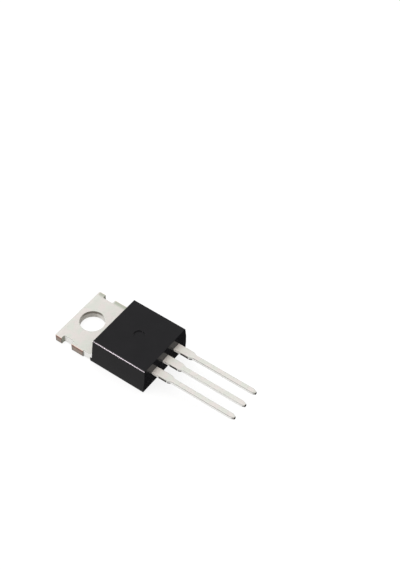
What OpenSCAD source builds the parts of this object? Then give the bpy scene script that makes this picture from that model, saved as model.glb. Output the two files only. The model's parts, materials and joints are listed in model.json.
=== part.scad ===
// Dual schottky diode in a flat moulded power package with a metal mounting tab and three leads.
// It lies on its back. The origin is the centre of the mounting hole on the back plane, +Z points
// out of the moulded front, +Y towards the tab's free end, and the leads point towards -Y.

/* [Tab] */
// Width of the tab across its ears
tab_w = 10.1; // [9.9:0.05:10.6]
// Thickness of the copper tab and of the header inside the body
tab_t = 1.27; // [1.15:0.01:1.4]
// Bore of the mounting hole
hole_d = 3.75; // [3.5:0.05:4]
// Break round the mounting hole's front rim
hole_break = 0.03; // [0.02:0.01:0.15]
// Hole centre to the tab's free end
hole_to_end = 2.7; // [2.5:0.05:3]
// Hole centre to the body
hole_to_body = 3.9; // [3.7:0.05:4.3]
// Length of the ears at the free end
end_ear_l = 1.13; // [0.9:0.01:1.3]
// Length of the notch in each side of the tab
notch_l = 1.78; // [1.5:0.01:1.9]
// Depth of the notch in each side of the tab
notch_depth = 0.65; // [0.4:0.01:0.8]
// Radius in the notch's inner corners
notch_r = 0.2; // [0.05:0.01:0.3]
// Length of the ears beside the hole
side_ear_l = 2.13; // [1.8:0.01:2.3]
// Width of the neck between the ears and the body
neck_w = 9.8; // [9.5:0.01:9.85]

/* [Header inside the body] */
// Width of the header
header_w = 8.6; // [8.2:0.05:9]
// Length of the header
header_l = 7.1; // [6.8:0.05:7.4]
// Width of the step round the header's back edges that locks the body on
step_w = 0.3; // [0.1:0.01:0.5]
// Height of that step
step_h = 0.4; // [0.2:0.01:0.6]

/* [Body] */
// Width of the body
body_w = 10; // [9.9:0.05:10.4]
// Length of the body at its parting line
body_l = 9.25; // [9:0.05:9.6]
// Height of the body above the back plane
body_h = 4.45; // [4.3:0.01:4.8]
// How far each side leans in at the top
side_lean = 0.26; // [0.1:0.01:0.5]
// How far the tab-end face leans in at the top
tab_end_lean = 0.15; // [0.05:0.01:0.4]
// How far the lead-end face leans in above the parting line
lead_end_lean = 0.07; // [0.02:0.01:0.3]
// How far the lead-end face leans in below the parting line
lead_end_undercut = 0.17; // [0.05:0.01:0.4]
// Radius along the two long top edges
side_edge_r = 0.2; // [0.1:0.01:0.4]
// Radius along the top edges over the tab and over the leads
end_edge_r = 0.1; // [0.05:0.01:0.3]
// Diameter of the ejector pin's mark in the top
pin_mark_d = 1.6; // [1:0.05:2.2]
// Depth of the ejector pin's mark
pin_mark_depth = 0.15; // [0.05:0.01:0.25]
// Length of the lug that grips each side of the neck
lug_l = 0.33; // [0.15:0.01:0.6]
// Height of that lug
lug_h = 0.62; // [0.3:0.01:0.9]

/* [Leads] */
// Spacing of the leads
lead_pitch = 2.54; // [2.4:0.01:2.6]
// Thickness of the leads
lead_t = 0.5; // [0.4:0.01:0.6]
// Height of the leads' underside above the back plane
lead_z = 2.3; // [2.1:0.01:2.5]
// Length of the leads outside the body
lead_l = 13.5; // [12:0.1:14.5]
// Width of the leads
lead_w = 0.75; // [0.6:0.01:0.88]
// Width of the shoulder by the body
shoulder_w = 1.25; // [1:0.01:1.4]
// Length of the shoulder outside the body
shoulder_l = 2.65; // [2:0.05:3.2]
// Length over which the shoulder narrows to the lead
shoulder_taper = 0.5; // [0.3:0.01:0.8]
// Length of the chamfered tip
tip_l = 0.6; // [0.3:0.05:1.6]
// Width of the tip's blunt end
tip_w = 0.28; // [0.2:0.01:0.5]
// Thickness of the tip's blunt end
tip_t = 0.38; // [0.2:0.01:0.38]

/* [Lead ends inside the body] */
// Width of the bond post on each outer lead
post_w = 2.3; // [2:0.05:2.5]
// Length of the bond post
post_l = 1.35; // [1.2:0.05:1.6]
// Plastic between the bond post and the lead-end face
post_cover = 0.8; // [0.6:0.05:1]
// Plastic between the lead-end face and the middle lead's first bend
bend_cover = 0.75; // [0.6:0.05:1]
// Length over which the middle lead steps down to the header
step_down_l = 1.1; // [0.9:0.05:1.3]

/* [Dies] */
// Side of each square die
die_w = 2.6; // [2.2:0.05:2.8]
// Thickness of each die
die_t = 0.3; // [0.2:0.01:0.4]
// Thickness of the solder under each die
solder_t = 0.05; // [0.04:0.005:0.08]
// How far the solder shows round each die
solder_rim = 0.08; // [0.04:0.01:0.15]
// Distance between the dies' centres
die_pitch = 4.1; // [3.9:0.05:4.4]
// Body's tab-end face to the dies' centres
die_setback = 3.6; // [3:0.05:4]

/* [Bond wires] */
// Diameter of each bond wire
wire_d = 0.38; // [0.3:0.01:0.42]
// Spacing of the two wires on a die
wire_pitch = 0.9; // [0.8:0.01:1]
// Length of the flattened foot at each end of a wire
foot_l = 0.6; // [0.4:0.05:0.8]
// Width of the flattened foot
foot_w = 0.56; // [0.45:0.01:0.62]
// Thickness of the flattened foot
foot_t = 0.22; // [0.15:0.01:0.28]
// Rise of the loop above the straight line between its feet
loop_h = 0.75; // [0.5:0.05:1]

/* [Hidden] */
$fn = 96;

// Run-out of a cutting shape past the face that it cuts
cut = 1;
// Facets in the rounding of an edge
edge_steps = 6;
// Sides of a bond wire, and rings along its loop
wire_sides = 8;
loop_rings = 9;

// Lengthwise positions, from the tab's free end to the lead tips
notch_start_y = hole_to_end - end_ear_l;
notch_end_y = notch_start_y - notch_l;
neck_y = notch_end_y - side_ear_l;
tab_end_face_y = -hole_to_body;
lead_end_face_y = tab_end_face_y - body_l;
header_end_y = tab_end_face_y - header_l;
shoulder_end_y = lead_end_face_y - shoulder_l;
lead_end_y = lead_end_face_y - lead_l;
tip_start_y = lead_end_y + tip_l;
post_start_y = lead_end_face_y + post_cover + post_l;
die_y = tab_end_face_y - die_setback;
foot_on_post_y = lead_end_face_y + post_cover + post_l / 2 - foot_l / 2;
foot_on_die_y = die_y + foot_l / 2;
// The middle lead's foot runs on into the middle of the header, wherever the header ends
lead_foot_y = header_end_y + header_l / 2;

// Heights; the two halves of the mould part at the leads' top
lead_top = lead_z + lead_t;
lead_mid = lead_z + lead_t / 2;
parting_z = lead_top;
die_z = tab_t + solder_t;
die_top = die_z + die_t;

// --- Small helpers -------------------------------------------------------------------

function unit(v) = v / norm(v);

// Points of the arc of radius r that rounds corner b between its neighbours a and c
function rounded(a, b, c, r) =
    let (
        u = unit(a - b),
        v = unit(c - b),
        half = acos(u * v) / 2,
        centre = b + unit(u + v) * r / sin(half),
        from = unit(b + u * r / tan(half) - centre),
        to = unit(b + v * r / tan(half) - centre)
    )
    [for (i = [0:edge_steps]) centre + r * unit(from + (to - from) * i / edge_steps)];

// Extrudes an outline drawn in (y, z) along X, centred on the part
module across(width) {
    translate([-width / 2, 0, 0])
        rotate([90, 0, 90])
            linear_extrude(width)
                children();
}

// --- Tab and leads -------------------------------------------------------------------

// One side notch, its mouth at x = 0 and its floor towards -X
module notch() {
    translate([-notch_depth, notch_r])
        square([notch_depth + cut, notch_l - 2 * notch_r]);
    translate([notch_r - notch_depth, 0])
        square([notch_depth - notch_r + cut, notch_l]);
    for (y = [notch_r, notch_l - notch_r])
        translate([notch_r - notch_depth, y])
            circle(r = notch_r);
}

// The stamped outline of the tab, down to where its neck enters the body
module tab_outline() {
    difference() {
        translate([-tab_w / 2, neck_y])
            square([tab_w, hole_to_end - neck_y]);
        translate([tab_w / 2, notch_end_y])
            notch();
        mirror([1, 0])
            translate([tab_w / 2, notch_end_y])
                notch();
    }
    translate([-neck_w / 2, tab_end_face_y])
        square([neck_w, neck_y - tab_end_face_y]);
}

// The header inside the body, its three free edges drawn in by inset
module header_outline(inset) {
    translate([inset - header_w / 2, header_end_y + inset])
        square([header_w - 2 * inset, neck_y - header_end_y - inset]);
}

// Punched from the front, so that only the front rim is broken
module mounting_hole() {
    translate([0, 0, -cut])
        cylinder(d = hole_d, h = tab_t + 2 * cut);
    translate([0, 0, tab_t - hole_break])
        cylinder(r1 = hole_d / 2, r2 = hole_d / 2 + 2 * hole_break, h = 2 * hole_break);
}

// A lead seen from above; root lists [width, y] of its end inside the body, down to the shoulder
module lead_outline(root) {
    side = [
        each root,
        [shoulder_w, shoulder_end_y],
        [lead_w, shoulder_end_y - shoulder_taper],
        [lead_w, tip_start_y],
        [tip_w, lead_end_y]
    ];
    right = [for (p = side) [p.x / 2, p.y]];
    left = [for (i = [len(side) - 1:-1:0]) [-side[i].x / 2, side[i].y]];
    polygon(concat(right, left));
}

// The lower and the upper edge of a lead's tip, seen from the side
tip_profile = [
    [tip_start_y, lead_z],
    [lead_end_y, lead_mid - tip_t / 2],
    [lead_end_y, lead_mid + tip_t / 2],
    [tip_start_y, lead_top]
];

// The straight side view of an outer lead
module outer_lead_profile() {
    polygon(concat(tip_profile, [[post_start_y, lead_top], [post_start_y, lead_z]]));
}

// The middle lead bends down and meets the header's top
module middle_lead_profile() {
    bend_y = lead_end_face_y + bend_cover;
    foot_y = bend_y + step_down_l;
    drop = lead_top - tab_t;
    mitre = lead_t / 2 * tan(atan2(drop, step_down_l) / 2);
    polygon(concat(tip_profile, [
        [bend_y + mitre, lead_top],
        [foot_y + mitre, tab_t],
        [lead_foot_y, tab_t],
        [lead_foot_y, tab_t - lead_t],
        [foot_y - mitre, tab_t - lead_t],
        [bend_y - mitre, lead_z]
    ]));
}

module middle_lead() {
    intersection() {
        across(shoulder_w + 2 * cut)
            middle_lead_profile();
        linear_extrude(lead_top + cut)
            lead_outline([[shoulder_w, lead_foot_y]]);
    }
}

// The header, the tab and the middle lead are one stamping
module tab_cathode_lead() {
    color([0.86, 0.84, 0.80])
        difference() {
            union() {
                linear_extrude(tab_t) {
                    tab_outline();
                    header_outline(step_w);
                }
                translate([0, 0, step_h])
                    linear_extrude(tab_t - step_h)
                        header_outline(0);
                middle_lead();
            }
            mounting_hole();
        }
}

// An outer lead; side is -1 for the first and 1 for the second
module anode_lead(side) {
    post_end_y = post_start_y - post_l;
    color([0.86, 0.84, 0.80])
        translate([side * lead_pitch, 0, 0])
            intersection() {
                across(post_w + 2 * cut)
                    outer_lead_profile();
                linear_extrude(lead_top + cut)
                    lead_outline([[post_w, post_start_y], [post_w, post_end_y], [shoulder_w, post_end_y]]);
            }
}

// --- Dies and bond wires -------------------------------------------------------------

module schottky_die(side) {
    color([0.35, 0.36, 0.40])
        translate([side * die_pitch / 2 - die_w / 2, die_y - die_w / 2, die_z])
            cube([die_w, die_w, die_t]);
}

module die_solder(side) {
    solder_w = die_w + 2 * solder_rim;
    color([0.62, 0.62, 0.64])
        translate([side * die_pitch / 2 - solder_w / 2, die_y - solder_w / 2, tab_t])
            cube([solder_w, solder_w, solder_t]);
}

// A wire from a die's top to its lead's bond post: a flat foot, a loop and a flat foot.
// row is -1 or 1, for the two wires that lie side by side.
module bond_wire(side, row) {
    start = [side * die_pitch / 2 + row * wire_pitch / 2, foot_on_die_y];
    end = [side * lead_pitch + row * wire_pitch / 2, foot_on_post_y];
    along = unit(end - start);
    run = norm(end - start);
    span = run - 2 * foot_l;
    // The ring's flat lower side lies on the pad
    flat = cos(180 / wire_sides);
    die_foot_z = die_top + foot_t / 2;
    post_foot_z = lead_top + foot_t / 2;
    foot_half = [foot_w / 2, foot_t / 2 / flat];
    // Stations along the wire: [distance, height, half width, half thickness]
    loop = [
        for (i = [1:loop_rings])
            let (u = i / (loop_rings + 1))
            [
                foot_l + span * u,
                die_foot_z + (post_foot_z - die_foot_z) * u + loop_h * sin(180 * u),
                wire_d / 2,
                wire_d / 2
            ]
    ];
    stations = concat(
        [[0, die_foot_z, foot_half.x, foot_half.y]],
        [[foot_l, die_foot_z, foot_half.x, foot_half.y]],
        loop,
        [[run - foot_l, post_foot_z, foot_half.x, foot_half.y]],
        [[run, post_foot_z, foot_half.x, foot_half.y]]
    );
    last = len(stations) - 1;
    points = [
        for (i = [0:last])
            let (
                s = stations[i],
                before = stations[max(i - 1, 0)],
                after = stations[min(i + 1, last)],
                level = i < 2 || i > last - 2,
                slope = level ? [1, 0] : unit([after[0] - before[0], after[1] - before[1]])
            )
            for (k = [0:wire_sides - 1])
                let (
                    angle = (k + 0.5) * 360 / wire_sides,
                    sideways = s[2] * cos(angle),
                    up = s[3] * sin(angle),
                    d = s[0] - slope.y * up
                )
                [
                    start.x + along.x * d - along.y * sideways,
                    start.y + along.y * d + along.x * sideways,
                    s[1] + slope.x * up
                ]
    ];
    faces = concat(
        [[for (k = [0:wire_sides - 1]) k]],
        [[for (k = [wire_sides - 1:-1:0]) last * wire_sides + k]],
        [
            for (i = [0:last - 1])
                for (k = [0:wire_sides - 1])
                    let (
                        a = i * wire_sides + k,
                        b = i * wire_sides + (k + 1) % wire_sides
                    )
                    for (face = [[a, a + wire_sides, b], [b, a + wire_sides, b + wire_sides]])
                        face
        ]
    );
    color([0.80, 0.81, 0.83])
        polyhedron(points, faces);
}

// --- Body ----------------------------------------------------------------------------

// The body seen from the side, in (y, z)
module body_side_profile() {
    tab_top = [tab_end_face_y - tab_end_lean, body_h];
    lead_top_edge = [lead_end_face_y + lead_end_lean, body_h];
    tab_end = [tab_end_face_y, tab_t];
    parting = [lead_end_face_y, parting_z];
    polygon(concat(
        [[tab_end_face_y, 0], tab_end],
        rounded(tab_end, tab_top, lead_top_edge, end_edge_r),
        rounded(tab_top, lead_top_edge, parting, end_edge_r),
        [parting, [lead_end_face_y + lead_end_undercut, 0]]
    ));
}

// The body seen along the leads, in (x, z)
module body_end_profile() {
    left = [-body_w / 2, tab_t];
    right = [body_w / 2, tab_t];
    left_top = [side_lean - body_w / 2, body_h];
    right_top = [body_w / 2 - side_lean, body_h];
    polygon(concat(
        [[-body_w / 2, 0], left],
        rounded(left, left_top, right_top, side_edge_r),
        rounded(left_top, right_top, right, side_edge_r),
        [right, [body_w / 2, 0]]
    ));
}

module body_block() {
    intersection() {
        across(body_w + 2 * cut)
            body_side_profile();
        translate([0, tab_end_face_y + cut, 0])
            rotate([90, 0, 0])
                linear_extrude(body_l + 2 * cut)
                    body_end_profile();
    }
}

// A lug of plastic beside the neck, on the +X side
module neck_lug() {
    translate([neck_w / 2, tab_end_face_y - lug_l, 0])
        cube([(body_w - neck_w) / 2, 2 * lug_l, lug_h]);
}

// The plastic fills all the room round the pieces inside it
module moulded_body() {
    color([0.13, 0.13, 0.14])
        difference() {
            union() {
                body_block();
                neck_lug();
                mirror([1, 0, 0])
                    neck_lug();
            }
            translate([0, (tab_end_face_y + lead_end_face_y) / 2, body_h - pin_mark_depth])
                cylinder(d = pin_mark_d, h = pin_mark_depth + cut);
            tab_cathode_lead();
            for (side = [-1, 1]) {
                anode_lead(side);
                schottky_die(side);
                die_solder(side);
                for (row = [-1, 1])
                    bond_wire(side, row);
            }
        }
}

moulded_body();
tab_cathode_lead();
anode_lead(-1);  // anode_lead_1
anode_lead(1);  // anode_lead_2
schottky_die(-1);  // schottky_die_1
schottky_die(1);  // schottky_die_2
die_solder(-1);  // die_solder_1
die_solder(1);  // die_solder_2
bond_wire(-1, -1);  // bond_wire_1a
bond_wire(-1, 1);  // bond_wire_1b
bond_wire(1, -1);  // bond_wire_2a
bond_wire(1, 1);  // bond_wire_2b
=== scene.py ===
"""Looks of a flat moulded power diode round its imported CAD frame."""
import json

import bmesh
import bpy
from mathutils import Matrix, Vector


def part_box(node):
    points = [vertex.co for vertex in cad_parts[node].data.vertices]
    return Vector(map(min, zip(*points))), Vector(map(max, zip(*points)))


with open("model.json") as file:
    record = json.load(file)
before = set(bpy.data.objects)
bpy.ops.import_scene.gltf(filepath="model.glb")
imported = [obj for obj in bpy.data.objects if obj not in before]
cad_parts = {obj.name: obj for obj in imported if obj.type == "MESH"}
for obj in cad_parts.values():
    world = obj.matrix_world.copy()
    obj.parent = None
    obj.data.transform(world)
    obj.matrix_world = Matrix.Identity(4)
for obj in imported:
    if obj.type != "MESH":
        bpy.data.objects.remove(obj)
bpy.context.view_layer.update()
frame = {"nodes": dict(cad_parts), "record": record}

MM = 0.001


def box_mm(name):
    """The lowest and the highest corner of a CAD node, in millimetres."""
    return [[round(c / MM, 3) for c in corner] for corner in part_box(name)]


# --- Sizes of the part that the materials follow, in millimetres -----------------------
(_, LEAD_END_Y, _), (TAB_HALF, TAB_END_Y, _) = box_mm("tab_cathode_lead")
(_, LEAD_FACE_Y, _), _ = box_mm("moulded_body")
FAR_LEAD_LOW, FAR_LEAD_HIGH = box_mm("anode_lead_2")
LEAD_PITCH = round((FAR_LEAD_LOW[0] + FAR_LEAD_HIGH[0]) / 2, 3)
LEAD_MID_Z = round((FAR_LEAD_LOW[2] + FAR_LEAD_HIGH[2]) / 2, 3)
HOLE_R = next(m["dims"]["r_mm"] for m in frame["record"]["mounts"] if m["name"] == "mounting_hole")
HOLE_BREAK = 0.03
TAB_T = 1.27
EAR_SPANS = ((1.57, TAB_END_Y), (-2.34, -0.21))
TAB_FACE_Y = -3.9
SHOULDER_HALF = 0.625
# Where the dambar was cut off each side of a shoulder, and where the shoulder narrows
STUB_Y = (-15.58, -14.32)
TAPER_Y = (-16.15, -15.76)
TIP_CUT_L = 0.42

# --- Colours, as linear red, green and blue --------------------------------------------
EPOXY_DARK, EPOXY_PALE = (0.0046, 0.0045, 0.0054), (0.0080, 0.0078, 0.0090)
# A painted sheen on the moulding's long top edges, lighter than the compound
EPOXY_EDGE_SHEEN = (0.115, 0.106, 0.112)
TIN_GREENISH, TIN_PINKISH = (0.665, 0.685, 0.63), (0.725, 0.675, 0.65)
TIN_PALE, TIN_MARKED = (0.72, 0.705, 0.67), (0.55, 0.53, 0.49)
# Painted shade for the plate's turned edges, and a side band that is partly burnish and partly painted
# reflection
TIN_EDGE_SHADE, TIN_BURNISH_SHEEN = (0.15, 0.147, 0.137), (0.95, 0.945, 0.92)
# The second is the grey of the punched faces turned to -y, darkened partly as painted shade
TIN_STAINED, TIN_PUNCHED_SHADE = (0.41, 0.44, 0.36), (0.30, 0.305, 0.255)
COPPER_DARK, COPPER_CORE = (0.13, 0.105, 0.088), (0.31, 0.24, 0.195)
COPPER_FLUSH, COPPER_RIM = (0.26, 0.085, 0.055), (0.93, 0.72, 0.62)
BORE_DARK, BORE_PALE = (0.38, 0.36, 0.33), (0.66, 0.64, 0.59)
# The first is a painted reflection on one side of the bore's wall
BORE_PAINTED_SHEEN, BORE_TORN = (0.90, 0.88, 0.84), (0.22, 0.20, 0.17)
# A painted highlight along the tab's edge by the moulding
BODY_LINE_HIGHLIGHT = (0.95, 0.95, 0.94)
LEAD_WARM, LEAD_SPECK = (0.80, 0.735, 0.67), (0.30, 0.27, 0.24)
# Cut metal, darkened also as painted shade where the lead's faces turn from the light
LEAD_CUT_AND_SHADE = (0.034, 0.025, 0.019)
SILICON_DARK, SILICON_PALE = (0.05, 0.05, 0.06), (0.10, 0.10, 0.12)
METALLISED = (0.62, 0.62, 0.64)
SOLDER_DARK, SOLDER_PALE = (0.40, 0.40, 0.42), (0.60, 0.60, 0.62)
WIRE_DARK, WIRE_PALE = (0.74, 0.74, 0.76), (0.88, 0.88, 0.90)
PAPER_DARK, PAPER_PALE = (0.18, 0.18, 0.18), (0.20, 0.20, 0.20)
GLOW = (1.0, 1.0, 1.0, 1.0)

# --- Camera, fitted to the photograph --------------------------------------------------
CAMERA_MM = (-82.3086, -74.4529, 135.0161)
CAMERA_QUATERNION = (0.8338310, 0.3090218, -0.1700442, -0.4246368)
FOCAL_PX, LONG_SIDE_PX, SENSOR = 1200.0, 570.0, 36.0
CLIP_M = (0.005, 5.0)


def make_camera():
    data = bpy.data.cameras.new("camera")
    data.sensor_fit = "AUTO"
    data.sensor_width = SENSOR
    data.lens = FOCAL_PX / LONG_SIDE_PX * SENSOR
    data.clip_start, data.clip_end = CLIP_M
    camera = bpy.data.objects.new("camera", data)
    camera.rotation_mode = "QUATERNION"
    camera.rotation_quaternion = CAMERA_QUATERNION
    camera.location = [c * MM for c in CAMERA_MM]
    bpy.context.scene.collection.objects.link(camera)
    bpy.context.scene.camera = camera


# --- Node building blocks --------------------------------------------------------------
def put(tree, socket, value):
    """Links another node's output to a socket, or sets a plain value on it."""
    if isinstance(value, bpy.types.NodeSocket):
        tree.links.new(value, socket)
    else:
        socket.default_value = value


def math_node(tree, operation, *values):
    node = tree.nodes.new("ShaderNodeMath")
    node.operation = operation
    for socket, value in zip(node.inputs, values):
        put(tree, socket, value)
    return node.outputs[0]


def map_range(tree, value, in_span=(0.0, 1.0), out_span=(0.0, 1.0), smooth=False):
    node = tree.nodes.new("ShaderNodeMapRange")
    if smooth:
        node.interpolation_type = "SMOOTHSTEP"
    put(tree, node.inputs["Value"], value)
    for socket, number in zip(("From Min", "From Max", "To Min", "To Max"), (*in_span, *out_span)):
        node.inputs[socket].default_value = number
    return node.outputs[0]


class Shader:
    """A Principled material; positions reach its nodes in millimetres in the row frame."""

    def __init__(self, name, **constants):
        self.material = bpy.data.materials.new(name)
        self.material.use_nodes = True
        self.tree = self.material.node_tree
        self.bsdf = self.tree.nodes["Principled BSDF"]
        for socket, value in constants.items():
            self.bsdf.inputs[socket.replace("_", " ")].default_value = value
        coords = self.tree.nodes.new("ShaderNodeTexCoord")
        scale = self.tree.nodes.new("ShaderNodeVectorMath")
        scale.operation = "SCALE"
        scale.inputs["Scale"].default_value = 1 / MM
        self.tree.links.new(coords.outputs["Object"], scale.inputs[0])
        self.position = scale.outputs[0]
        self.x, self.y, self.z = self.split(self.position)

    def split(self, vector):
        node = self.tree.nodes.new("ShaderNodeSeparateXYZ")
        self.tree.links.new(vector, node.inputs[0])
        return node.outputs[0], node.outputs[1], node.outputs[2]

    def normal(self):
        node = self.tree.nodes.new("ShaderNodeNewGeometry")
        return self.split(node.outputs["Normal"])

    def chain(self, operation, first, *others):
        for other in others:
            first = math_node(self.tree, operation, first, other)
        return first

    def plus(self, *values):
        return self.chain("ADD", *values)

    def minus(self, first, second):
        return self.chain("SUBTRACT", first, second)

    def times(self, *values):
        return self.chain("MULTIPLY", *values)

    def most(self, *values):
        return self.chain("MAXIMUM", *values)

    def unsigned(self, value):
        return math_node(self.tree, "ABSOLUTE", value)

    def square(self, value):
        return math_node(self.tree, "POWER", value, 2.0)

    def rest(self, value):
        """What the value leaves to 1."""
        return self.minus(1.0, value)

    def smooth(self, value, low, high):
        """0 below low, 1 above high, smooth between."""
        return map_range(self.tree, value, in_span=(low, high), smooth=True)

    def span(self, value, low, high, soft):
        """1 inside low..high, falling to 0 over soft outside it."""
        rise = self.smooth(value, low - soft, low)
        return self.times(rise, self.rest(self.smooth(value, high, high + soft)))

    def stretch(self, value, low, high):
        """Maps 0..1 to low..high."""
        return map_range(self.tree, value, out_span=(low, high))

    def noise(self, scale, detail, along=(1.0, 1.0, 1.0)):
        """Noise with scale cells a millimetre, drawn out in the directions where along is small."""
        node = self.tree.nodes.new("ShaderNodeTexNoise")
        squeeze = self.tree.nodes.new("ShaderNodeVectorMath")
        squeeze.operation = "MULTIPLY"
        squeeze.inputs[1].default_value = along
        self.tree.links.new(self.position, squeeze.inputs[0])
        self.tree.links.new(squeeze.outputs[0], node.inputs["Vector"])
        node.inputs["Scale"].default_value = scale
        node.inputs["Detail"].default_value = detail
        return node.outputs[0]

    def blend(self, factor, first, second):
        """The first colour where factor is 0, the second where it is 1."""
        node = self.tree.nodes.new("ShaderNodeMix")
        node.data_type = "RGBA"
        put(self.tree, node.inputs["Factor"], factor)
        for socket, value in ((node.inputs[6], first), (node.inputs[7], second)):
            put(self.tree, socket, (*value, 1.0) if isinstance(value, tuple) else value)
        return node.outputs[2]

    def layers(self, colour, *coats):
        """Lays coats, each a factor and a colour, over a colour."""
        for factor, coat in coats:
            colour = self.blend(factor, colour, coat)
        return colour

    def bump(self, height, depth_mm, strength):
        node = self.tree.nodes.new("ShaderNodeBump")
        node.inputs["Strength"].default_value = strength
        node.inputs["Distance"].default_value = depth_mm * MM
        put(self.tree, node.inputs["Height"], height)
        self.tree.links.new(node.outputs[0], self.bsdf.inputs["Normal"])

    def finish(self, colour, roughness, metallic=None):
        put(self.tree, self.bsdf.inputs["Base Color"], colour)
        put(self.tree, self.bsdf.inputs["Roughness"], roughness)
        if metallic is not None:
            put(self.tree, self.bsdf.inputs["Metallic"], metallic)
        return self.material


# --- Materials -------------------------------------------------------------------------
# Lowest and highest roughness of the compound: its satin faces, the lead face, the long top edges with
# their painted sheen
SATIN_ROUGH, LEAD_FACE_ROUGH, EDGE_SHEEN_ROUGH = (0.24, 0.42), (0.18, 0.26), (0.42, 0.48)
# How far the painted sheen on the long top edges mirrors like a metal
EDGE_SHEEN_METALLIC = 0.8
PLATE_ROUGH = (0.38, 0.56)
# The dull share of the matte tin plate is what this leaves to 1; the bright bands are duller
PLATE_METALLIC, BAND_DULLER, BAND_SMOOTHER = 0.60, 0.4, 0.12
# Torn and cut metal, and the faces darkened with painted shade, are rougher and duller than the plate,
# and the painted highlight band by the moulding duller still
DARK_MARKS_ROUGHER, DARK_MARKS_DULLER, CUT_AND_SHADE_DULLER, HIGHLIGHT_BAND_DULLER = 0.24, 0.33, 0.3, 0.6
# From left to right in the photograph, in x and -y on the tab
ACROSS = (0.59, 0.80)
# Farther from a lead than any point of the part, in millimetres
FAR_OFF = 1000.0


def epoxy():
    """Black moulding compound: satin from the eroded mould, smooth where the leads come out, with a
    painted sheen on its long top edges.
    """
    s = Shader("epoxy", IOR=1.2, Specular_IOR_Level=0.88)
    grain = s.noise(14.0, 3.0)
    cloud = s.noise(0.55, 3.0)
    normal_x, normal_y, normal_z = s.normal()
    lead_face = s.smooth(s.times(normal_y, -1.0), 0.80, 0.96)
    # Painted sheen on the moulding's long top edges, where the surface turns between side and top: a
    # lighter colour that mirrors more, so that the edge softbox lays a highlight along them
    turned = s.times(s.smooth(s.unsigned(normal_x), 0.14, 0.30), s.smooth(normal_z, 0.14, 0.30))
    colour = s.blend(turned, s.blend(cloud, EPOXY_DARK, EPOXY_PALE), EPOXY_EDGE_SHEEN)
    satin = s.stretch(s.plus(s.times(grain, 0.6), s.times(cloud, 0.4)), *SATIN_ROUGH)
    keep = s.rest(s.most(lead_face, turned))
    roughness = s.plus(
        s.times(satin, keep),
        s.times(s.stretch(cloud, *LEAD_FACE_ROUGH), lead_face),
        s.times(s.stretch(cloud, *EDGE_SHEEN_ROUGH), turned),
    )
    s.bump(s.times(grain, keep), 0.006, 0.7)
    return s.finish(colour, roughness, s.times(turned, EDGE_SHEEN_METALLIC))


def plated(name):
    """The tin plate that the tab and the leads share: mottled, with fine marks along the strip."""
    s = Shader(name)
    mottle = s.noise(0.9, 3.0)
    tint = s.noise(0.75, 3.0)
    fine = s.noise(7.0, 3.0)
    rolled = s.noise(5.0, 2.0, (3.0, 0.25, 3.0))
    marks = s.plus(s.times(fine, 0.5), s.times(rolled, 0.5))
    # Painted shade on the turned edges, which would mirror the dark parts of the room; on the sides a
    # smooth bright band, partly the blanking die's burnish and partly a painted reflection of the bright
    # floor
    normal_x, _, normal_z = s.normal()
    turned = s.span(normal_z, 0.30, 0.90, 0.05)
    burnish_sheen = s.smooth(s.unsigned(normal_x), 0.93, 0.99)
    colour = s.layers(
        s.blend(s.smooth(tint, 0.40, 0.60), TIN_GREENISH, TIN_PINKISH),
        (s.times(mottle, 0.5), TIN_PALE),
        (s.times(s.smooth(fine, 0.45, 0.75), 0.18), TIN_MARKED),
        (s.times(turned, 0.85), TIN_EDGE_SHADE),
        (burnish_sheen, TIN_BURNISH_SHEEN),
    )
    roughness = s.minus(s.stretch(marks, *PLATE_ROUGH), s.times(burnish_sheen, BAND_SMOOTHER))
    metallic = s.minus(PLATE_METALLIC, s.times(burnish_sheen, BAND_DULLER))
    s.bump(marks, 0.004, 0.6)
    return s, colour, roughness, metallic


def sheared_ears(s, colour, ragged):
    """Bare copper where the tab's ears were sheared, a stain on the far ones' top, and punched faces
    turned to -y, darkened partly as painted shade.
    """
    height, along = s.plus(s.z, ragged), s.plus(s.y, ragged)
    ears, core, stain = 0.0, 0.0, 0.0
    for low, high in EAR_SPANS:
        ears = s.most(ears, s.span(s.y, low, high, 0.01))
        core = s.most(core, s.span(along, low + 0.22, high - 0.20, 0.08))
        stain = s.most(stain, s.span(along, low, high - 0.25, 0.15))
    ears = s.times(ears, s.smooth(s.unsigned(s.x), TAB_HALF - 0.06, TAB_HALF - 0.04))
    core = s.times(ears, core, s.span(height, 0.22, 0.80, 0.10))
    rim = s.times(ears, s.smooth(s.z, TAB_T - 0.07, TAB_T - 0.03))
    dark = s.minus(ears, rim)
    flush = s.times(ears, s.span(height, TAB_T - 0.36, TAB_T - 0.12, 0.06))
    stain = s.times(stain, s.smooth(s.plus(s.x, ragged), 4.15, 4.75))
    _, normal_y, _ = s.normal()
    # Faces turned to -y get a darker grey: partly the dull punched metal, partly painted shade
    punched_shade = s.times(s.smooth(s.times(normal_y, -1.0), 0.5, 0.8),
                      s.smooth(s.y, TAB_FACE_Y - 1.5, TAB_FACE_Y))
    colour = s.layers(
        colour,
        (s.times(stain, 0.85), TIN_STAINED),
        (punched_shade, TIN_PUNCHED_SHADE),
        (s.times(dark, 0.92), COPPER_DARK),
        (s.times(core, 0.85), COPPER_CORE),
        (s.times(flush, 0.6), COPPER_FLUSH),
        (rim, COPPER_RIM),
    )
    return colour, dark, punched_shade


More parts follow.
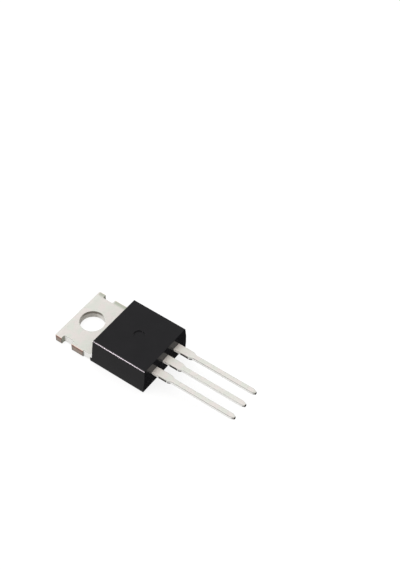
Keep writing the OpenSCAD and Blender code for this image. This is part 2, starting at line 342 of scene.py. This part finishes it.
def punched_bore(s, colour, ragged):
    """The punch left a torn, dark band under the front rim and a smoother wall below it; the wall is
    lighter towards +x and -y, a painted reflection.
    """
    radius = math_node(s.tree, "SQRT", s.plus(s.square(s.x), s.square(s.y)))
    rim = HOLE_R + HOLE_BREAK
    bore = s.rest(s.smooth(radius, rim - 0.01, rim + 0.01))
    across = s.minus(s.times(s.x, ACROSS[0]), s.times(s.y, ACROSS[1]))
    under_rim = s.smooth(s.plus(s.z, ragged), 0.74, 0.92)
    dark_marks = s.most(s.minus(under_rim, s.smooth(s.unsigned(across), 1.1, 1.8)), 0.0)
    wall = s.layers(
        s.blend(s.noise(2.0, 3.0, (1.0, 1.0, 3.0)), BORE_DARK, BORE_PALE),
        # Painted reflection: the wall lighter towards +x and -y
        (s.smooth(across, 0.3, 1.9), BORE_PAINTED_SHEEN),
        (dark_marks, BORE_TORN),
    )
    return s.blend(bore, colour, wall), bore


def lead_cuts_and_shade(s, colour, centres):
    """Darkens where a lead was cut: the dambar's stub, its root in the taper, and the tip. At the root,
    the tip's end and the tip's lower side the darkening is also painted shade, on faces turned from the
    light.
    """
    off_axis = FAR_OFF
    for centre in centres:
        off_axis = math_node(s.tree, "MINIMUM", off_axis, s.unsigned(s.minus(s.x, centre)))
    ragged = s.stretch(s.noise(4.0, 2.0), -0.05, 0.05)
    height = s.plus(s.z, ragged)
    stub = s.times(
        s.smooth(off_axis, SHOULDER_HALF - 0.09, SHOULDER_HALF - 0.06),
        s.span(s.y, *STUB_Y, 0.06),
        s.span(height, LEAD_MID_Z - 0.17, LEAD_MID_Z + 0.17, 0.03),
    )
    _, _, normal_z = s.normal()
    upright = s.rest(s.smooth(s.unsigned(normal_z), 0.3, 0.6))
    # The upright faces where the shoulder narrows: the dambar's root, darkened also as painted shade
    taper_root_shade = s.times(
        upright,
        s.span(s.y, *TAPER_Y, 0.05),
        s.span(height, LEAD_MID_Z - 0.18, LEAD_MID_Z + 0.04, 0.04),
    )
    # The tip's end face: cut metal, darkened also as painted shade
    blunt = s.rest(s.smooth(s.y, LEAD_END_Y + 0.07, LEAD_END_Y + 0.11))
    cut_y = LEAD_END_Y + TIP_CUT_L
    near_end = s.rest(s.smooth(s.y, cut_y - 0.05, cut_y + 0.05))
    below = s.rest(s.smooth(height, LEAD_MID_Z, LEAD_MID_Z + 0.14))
    # The lower upright faces near the tip: where it was cut, darkened also as painted shade
    tip_side_shade = s.times(near_end, upright, below)
    cut_and_shade = s.most(stub, blunt, s.times(taper_root_shade, 0.85), s.times(tip_side_shade, 0.62))
    # By the moulding the plate is warmer, and a few specks of dirt lie anywhere
    warm = s.span(s.plus(s.y, ragged), LEAD_FACE_Y - 0.2, LEAD_FACE_Y + 0.5, 1.8)
    speck = s.smooth(s.noise(2.6, 2.0), 0.715, 0.755)
    colour = s.layers(
        colour,
        (s.times(warm, 0.6), LEAD_WARM),
        (s.times(speck, 0.45), LEAD_SPECK),
        (cut_and_shade, LEAD_CUT_AND_SHADE),
    )
    return colour, cut_and_shade


def tab_plate():
    """Plated tab: sheared copper ears, a two-tone punched bore with a painted reflection, a painted
    highlight band by the moulding, and its own lead's cuts with painted shade.
    """
    s, colour, roughness, metallic = plated("tin_plate_tab")
    ragged = s.stretch(s.noise(3.2, 3.0), -0.10, 0.10)
    colour, dark, punched_shade = sheared_ears(s, colour, ragged)
    colour, bore = punched_bore(s, colour, ragged)
    # A painted highlight: a near-white band on the tab along the moulding
    highlight_band = s.span(s.y, TAB_FACE_Y, TAB_FACE_Y + 0.26, 0.10)
    colour = s.blend(s.times(highlight_band, 0.9), colour, BODY_LINE_HIGHLIGHT)
    colour, cut_and_shade = lead_cuts_and_shade(s, colour, (0.0,))
    # Dark marks: sheared copper, the bore, the cuts and the -y faces, the last two darkened partly as
    # painted shade
    dark_marks = s.most(dark, bore, cut_and_shade, punched_shade)
    roughness = s.plus(roughness, s.times(dark_marks, DARK_MARKS_ROUGHER))
    duller = s.most(s.times(dark_marks, DARK_MARKS_DULLER), s.times(highlight_band, HIGHLIGHT_BAND_DULLER))
    return s.finish(colour, roughness, s.most(s.minus(metallic, duller), 0.0))


def lead_plate():
    s, colour, roughness, metallic = plated("tin_plate_lead")
    colour, cut_and_shade = lead_cuts_and_shade(s, colour, (-LEAD_PITCH, LEAD_PITCH))
    roughness = s.plus(roughness, s.times(cut_and_shade, DARK_MARKS_ROUGHER))
    return s.finish(colour, roughness, s.most(s.minus(metallic, s.times(cut_and_shade, CUT_AND_SHADE_DULLER)), 0.0))


def silicon():
    """A die: dark sawn sides and a bright metallised top."""
    s = Shader("silicon")
    _, _, normal_z = s.normal()
    top = s.smooth(normal_z, 0.7, 0.9)
    grain = s.noise(9.0, 3.0)
    colour = s.blend(top, s.blend(grain, SILICON_DARK, SILICON_PALE), METALLISED)
    s.bump(grain, 0.003, 0.5)
    return s.finish(colour, s.stretch(grain, 0.18, 0.34), s.stretch(top, 0.45, 1.0))


def solder():
    s = Shader("solder", Metallic=1.0)
    grain = s.noise(6.0, 4.0)
    s.bump(grain, 0.006, 0.7)
    return s.finish(s.blend(grain, SOLDER_DARK, SOLDER_PALE), s.stretch(grain, 0.38, 0.58))


def bond_wire():
    s = Shader("bond_wire", Metallic=1.0)
    drawn = s.noise(10.0, 2.0, (2.0, 0.2, 2.0))
    s.bump(drawn, 0.002, 0.5)
    return s.finish(s.blend(drawn, WIRE_DARK, WIRE_PALE), s.stretch(drawn, 0.18, 0.32))


def floor_material():
    """White paper that also glows a little, as on a light table, so that hardly a shadow shows."""
    s = Shader("floor", Specular_IOR_Level=0.1, Emission_Color=GLOW, Emission_Strength=0.80)
    paper = s.noise(0.06, 2.0)
    return s.finish(s.blend(paper, PAPER_DARK, PAPER_PALE), s.stretch(paper, 0.8, 0.9))


# --- The CAD nodes: materials and softened edges ---------------------------------------
# In radians: what counts as one plane, the turns that are shaded smooth, the edges that are broken
FLAT_ANGLE, SMOOTH_ANGLE, BEVEL_ANGLE = 0.002, 0.53, 0.87
BEVEL_SEGMENTS = 3
# In millimetres: the breaks on four short edges of the moulding, its other sharp edges and the metal's.
# The solids round the moulding's top edges themselves, in steps that turn too little for a break. Only
# where a long rounding meets an end one is there a sharp edge, 0.05 mm long, and it gets the first width
CORNER_EDGE, BODY_EDGE, METAL_EDGE = 0.12, 0.05, 0.06
# In millimetres: those four lie less than this below the top and inside the widest side
CORNER_BELOW, CORNER_INSIDE = 0.05, 0.8
# In metres: points closer than this are one, in the imported facets and after the bevel
WELD_FACETS, WELD_BEVEL = 1e-7, 1e-6
FLAT_WEIGHT = 100


def mesh_group(name):
    """An empty geometry node group, with its input and output nodes."""
    group = bpy.data.node_groups.new(name, "GeometryNodeTree")
    for way in ("INPUT", "OUTPUT"):
        group.interface.new_socket("Geometry", in_out=way, socket_type="NodeSocketGeometry")
    return group, group.nodes.new("NodeGroupInput"), group.nodes.new("NodeGroupOutput")


def edge_turn(group):
    return group.nodes.new("GeometryNodeInputMeshEdgeAngle").outputs["Unsigned Angle"]


def smooth_turns():
    """A node group that shades a mesh smooth, apart from the edges that turn by more than 30 degrees."""
    group, start, end = mesh_group("smooth_turns")
    faces, edges = (group.nodes.new("GeometryNodeSetShadeSmooth") for _ in range(2))
    faces.domain, edges.domain = "FACE", "EDGE"
    small = math_node(group, "LESS_THAN", edge_turn(group), SMOOTH_ANGLE)
    group.links.new(start.outputs[0], faces.inputs["Geometry"])
    group.links.new(faces.outputs[0], edges.inputs["Geometry"])
    group.links.new(small, edges.inputs["Shade Smooth"])
    group.links.new(edges.outputs[0], end.inputs[0])
    return group


def corner_edges():
    """A node group that weights the body's sharp edges: 1 on four short top ones, less on the others."""
    group, start, end = mesh_group("corner_edges")
    _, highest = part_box("moulded_body")
    least = BODY_EDGE / CORNER_EDGE
    place = group.nodes.new("GeometryNodeInputPosition")
    axes = group.nodes.new("ShaderNodeSeparateXYZ")
    group.links.new(place.outputs[0], axes.inputs[0])
    sharp = math_node(group, "GREATER_THAN", edge_turn(group), BEVEL_ANGLE)
    high = math_node(group, "GREATER_THAN", axes.outputs[2], highest[2] - CORNER_BELOW * MM)
    off_middle = math_node(group, "ABSOLUTE", axes.outputs[0])
    far = math_node(group, "GREATER_THAN", off_middle, highest[0] - CORNER_INSIDE * MM)
    more = math_node(group, "MULTIPLY", math_node(group, "MULTIPLY", high, far), 1.0 - least)
    weight = math_node(group, "MULTIPLY", sharp, math_node(group, "ADD", more, least))
    store = group.nodes.new("GeometryNodeStoreNamedAttribute")
    store.data_type, store.domain = "FLOAT", "EDGE"
    store.inputs["Name"].default_value = "bevel_weight_edge"
    group.links.new(start.outputs[0], store.inputs["Geometry"])
    group.links.new(weight, store.inputs["Value"])
    group.links.new(store.outputs[0], end.inputs[0])
    return group


def weld(node, name, distance):
    node.modifiers.new(name, "WELD").merge_threshold = distance


def soften(node, width_mm, shading, weights):
    """Joins the imported facets, breaks the sharp edges by width_mm, or less by weight, and smooths."""
    weld(node, "weld", WELD_FACETS)
    planar = node.modifiers.new("planar", "DECIMATE")
    planar.decimate_type = "DISSOLVE"
    planar.angle_limit = FLAT_ANGLE
    if weights:
        node.modifiers.new("weights", "NODES").node_group = weights
    bevel = node.modifiers.new("edge", "BEVEL")
    bevel.width = width_mm * MM
    bevel.segments = BEVEL_SEGMENTS
    bevel.limit_method = "WEIGHT" if weights else "ANGLE"
    bevel.angle_limit = BEVEL_ANGLE
    # Where breaks of two widths meet, the bevel leaves points on top of each other
    weld(node, "weld_edge", WELD_BEVEL)
    node.modifiers.new("shading", "NODES").node_group = shading
    flat = node.modifiers.new("flat_faces", "WEIGHTED_NORMAL")
    flat.weight = FLAT_WEIGHT
    flat.keep_sharp = True


def dress():
    """Gives each CAD node its material, and soft edges to those that show."""
    finishes = {
        "moulded_body": (epoxy(), CORNER_EDGE, corner_edges()),
        "tab_cathode_lead": (tab_plate(), METAL_EDGE, None),
        "anode_lead": (lead_plate(), METAL_EDGE, None),
        "schottky_die": (silicon(), None, None),
        "die_solder": (solder(), None, None),
        "bond_wire": (bond_wire(), None, None),
    }
    shading = smooth_turns()
    for name, node in frame["nodes"].items():
        material, width, weights = next(f for start, f in finishes.items() if name.startswith(start))
        for slot in node.material_slots:
            slot.material = material
        if width:
            soften(node, width, shading, weights)


# --- Floor, world and lights, in metres ------------------------------------------------
FLOOR_HALF, FLOOR_CELLS, FLOOR_DROP = 3.0, 8, 0.00002
LIT_POINT = (0.0, -0.008, 0.002)
# Towards the back left of the room, which is bright below the horizon too
BRIGHT_SIDE = (-0.83, 0.56, 0.0)
ROOM_COLOUR = (1.0, 0.995, 0.985, 1.0)
EDGE_LIGHT_COLOUR = (1.0, 0.965, 0.985)


def make_floor():
    mesh = bpy.data.meshes.new("floor")
    grid = bmesh.new()
    bmesh.ops.create_grid(grid, x_segments=FLOOR_CELLS, y_segments=FLOOR_CELLS, size=FLOOR_HALF)
    grid.to_mesh(mesh)
    grid.free()
    floor = bpy.data.objects.new("floor", mesh)
    floor.location = (0.0, 0.0, -FLOOR_DROP)
    mesh.materials.append(floor_material())
    bpy.context.scene.collection.objects.link(floor)
    # What the part mirrors below the horizon comes from the world, which is dark at the front right
    floor.visible_glossy = False


def make_world():
    """A soft bright room: an even sky, and below the horizon bright at the back left only."""
    world = bpy.data.worlds.new("world")
    bpy.context.scene.world = world
    world.use_nodes = True
    tree = world.node_tree
    coords = tree.nodes.new("ShaderNodeTexCoord")
    axes = tree.nodes.new("ShaderNodeSeparateXYZ")
    lean = tree.nodes.new("ShaderNodeVectorMath")
    lean.operation = "DOT_PRODUCT"
    lean.inputs[1].default_value = BRIGHT_SIDE
    for reader in (axes, lean):
        tree.links.new(coords.outputs["Generated"], reader.inputs[0])
    left = lean.outputs["Value"]
    mix = tree.nodes.new("ShaderNodeMix")
    mix.data_type = "FLOAT"
    put(tree, mix.inputs["Factor"], map_range(tree, axes.outputs[2], (-0.06, 0.10), smooth=True))
    put(tree, mix.inputs[2], map_range(tree, left, (0.22, 0.62), (0.035, 0.48), smooth=True))
    put(tree, mix.inputs[3], map_range(tree, left, (-0.9, 0.9), (0.80, 0.88), smooth=True))
    background = tree.nodes["Background"]
    put(tree, background.inputs["Strength"], mix.outputs[0])
    background.inputs["Color"].default_value = ROOM_COLOUR


def make_light(name, direction, distance, side, power):
    """A square softbox that faces the part."""
    data = bpy.data.lights.new(name, "AREA")
    data.shape = "SQUARE"
    data.size = side
    data.energy = power
    light = bpy.data.objects.new(name, data)
    towards = Vector(direction).normalized()
    light.location = Vector(LIT_POINT) + towards * distance
    light.rotation_mode = "QUATERNION"
    light.rotation_quaternion = towards.to_track_quat("Z", "Y")
    bpy.context.scene.collection.objects.link(light)
    return light


def light_only(light, thing):
    """Lets a light fall on one thing and on nothing else."""
    lit = bpy.data.collections.new(light.name + "_lit")
    lit.objects.link(thing)
    light.light_linking.receiver_collection = lit


def make_lights():
    """A low softbox that only the moulding mirrors, in the painted sheen of its long top edges, and one
    above with no highlight.
    """
    edge = make_light("edge_softbox", (-0.89, 0.395, 0.22), distance=0.30, side=0.13, power=2.6)
    edge.data.color = EDGE_LIGHT_COLOUR
    edge.visible_diffuse = False
    light_only(edge, frame["nodes"]["moulded_body"])
    top = make_light("top_softbox", (0.10, 0.10, 1.0), distance=0.45, side=0.50, power=1.7)
    top.visible_glossy = False


make_camera()
make_world()
make_floor()
make_lights()
dress()
bpy.context.scene.view_settings.view_transform = "Standard"
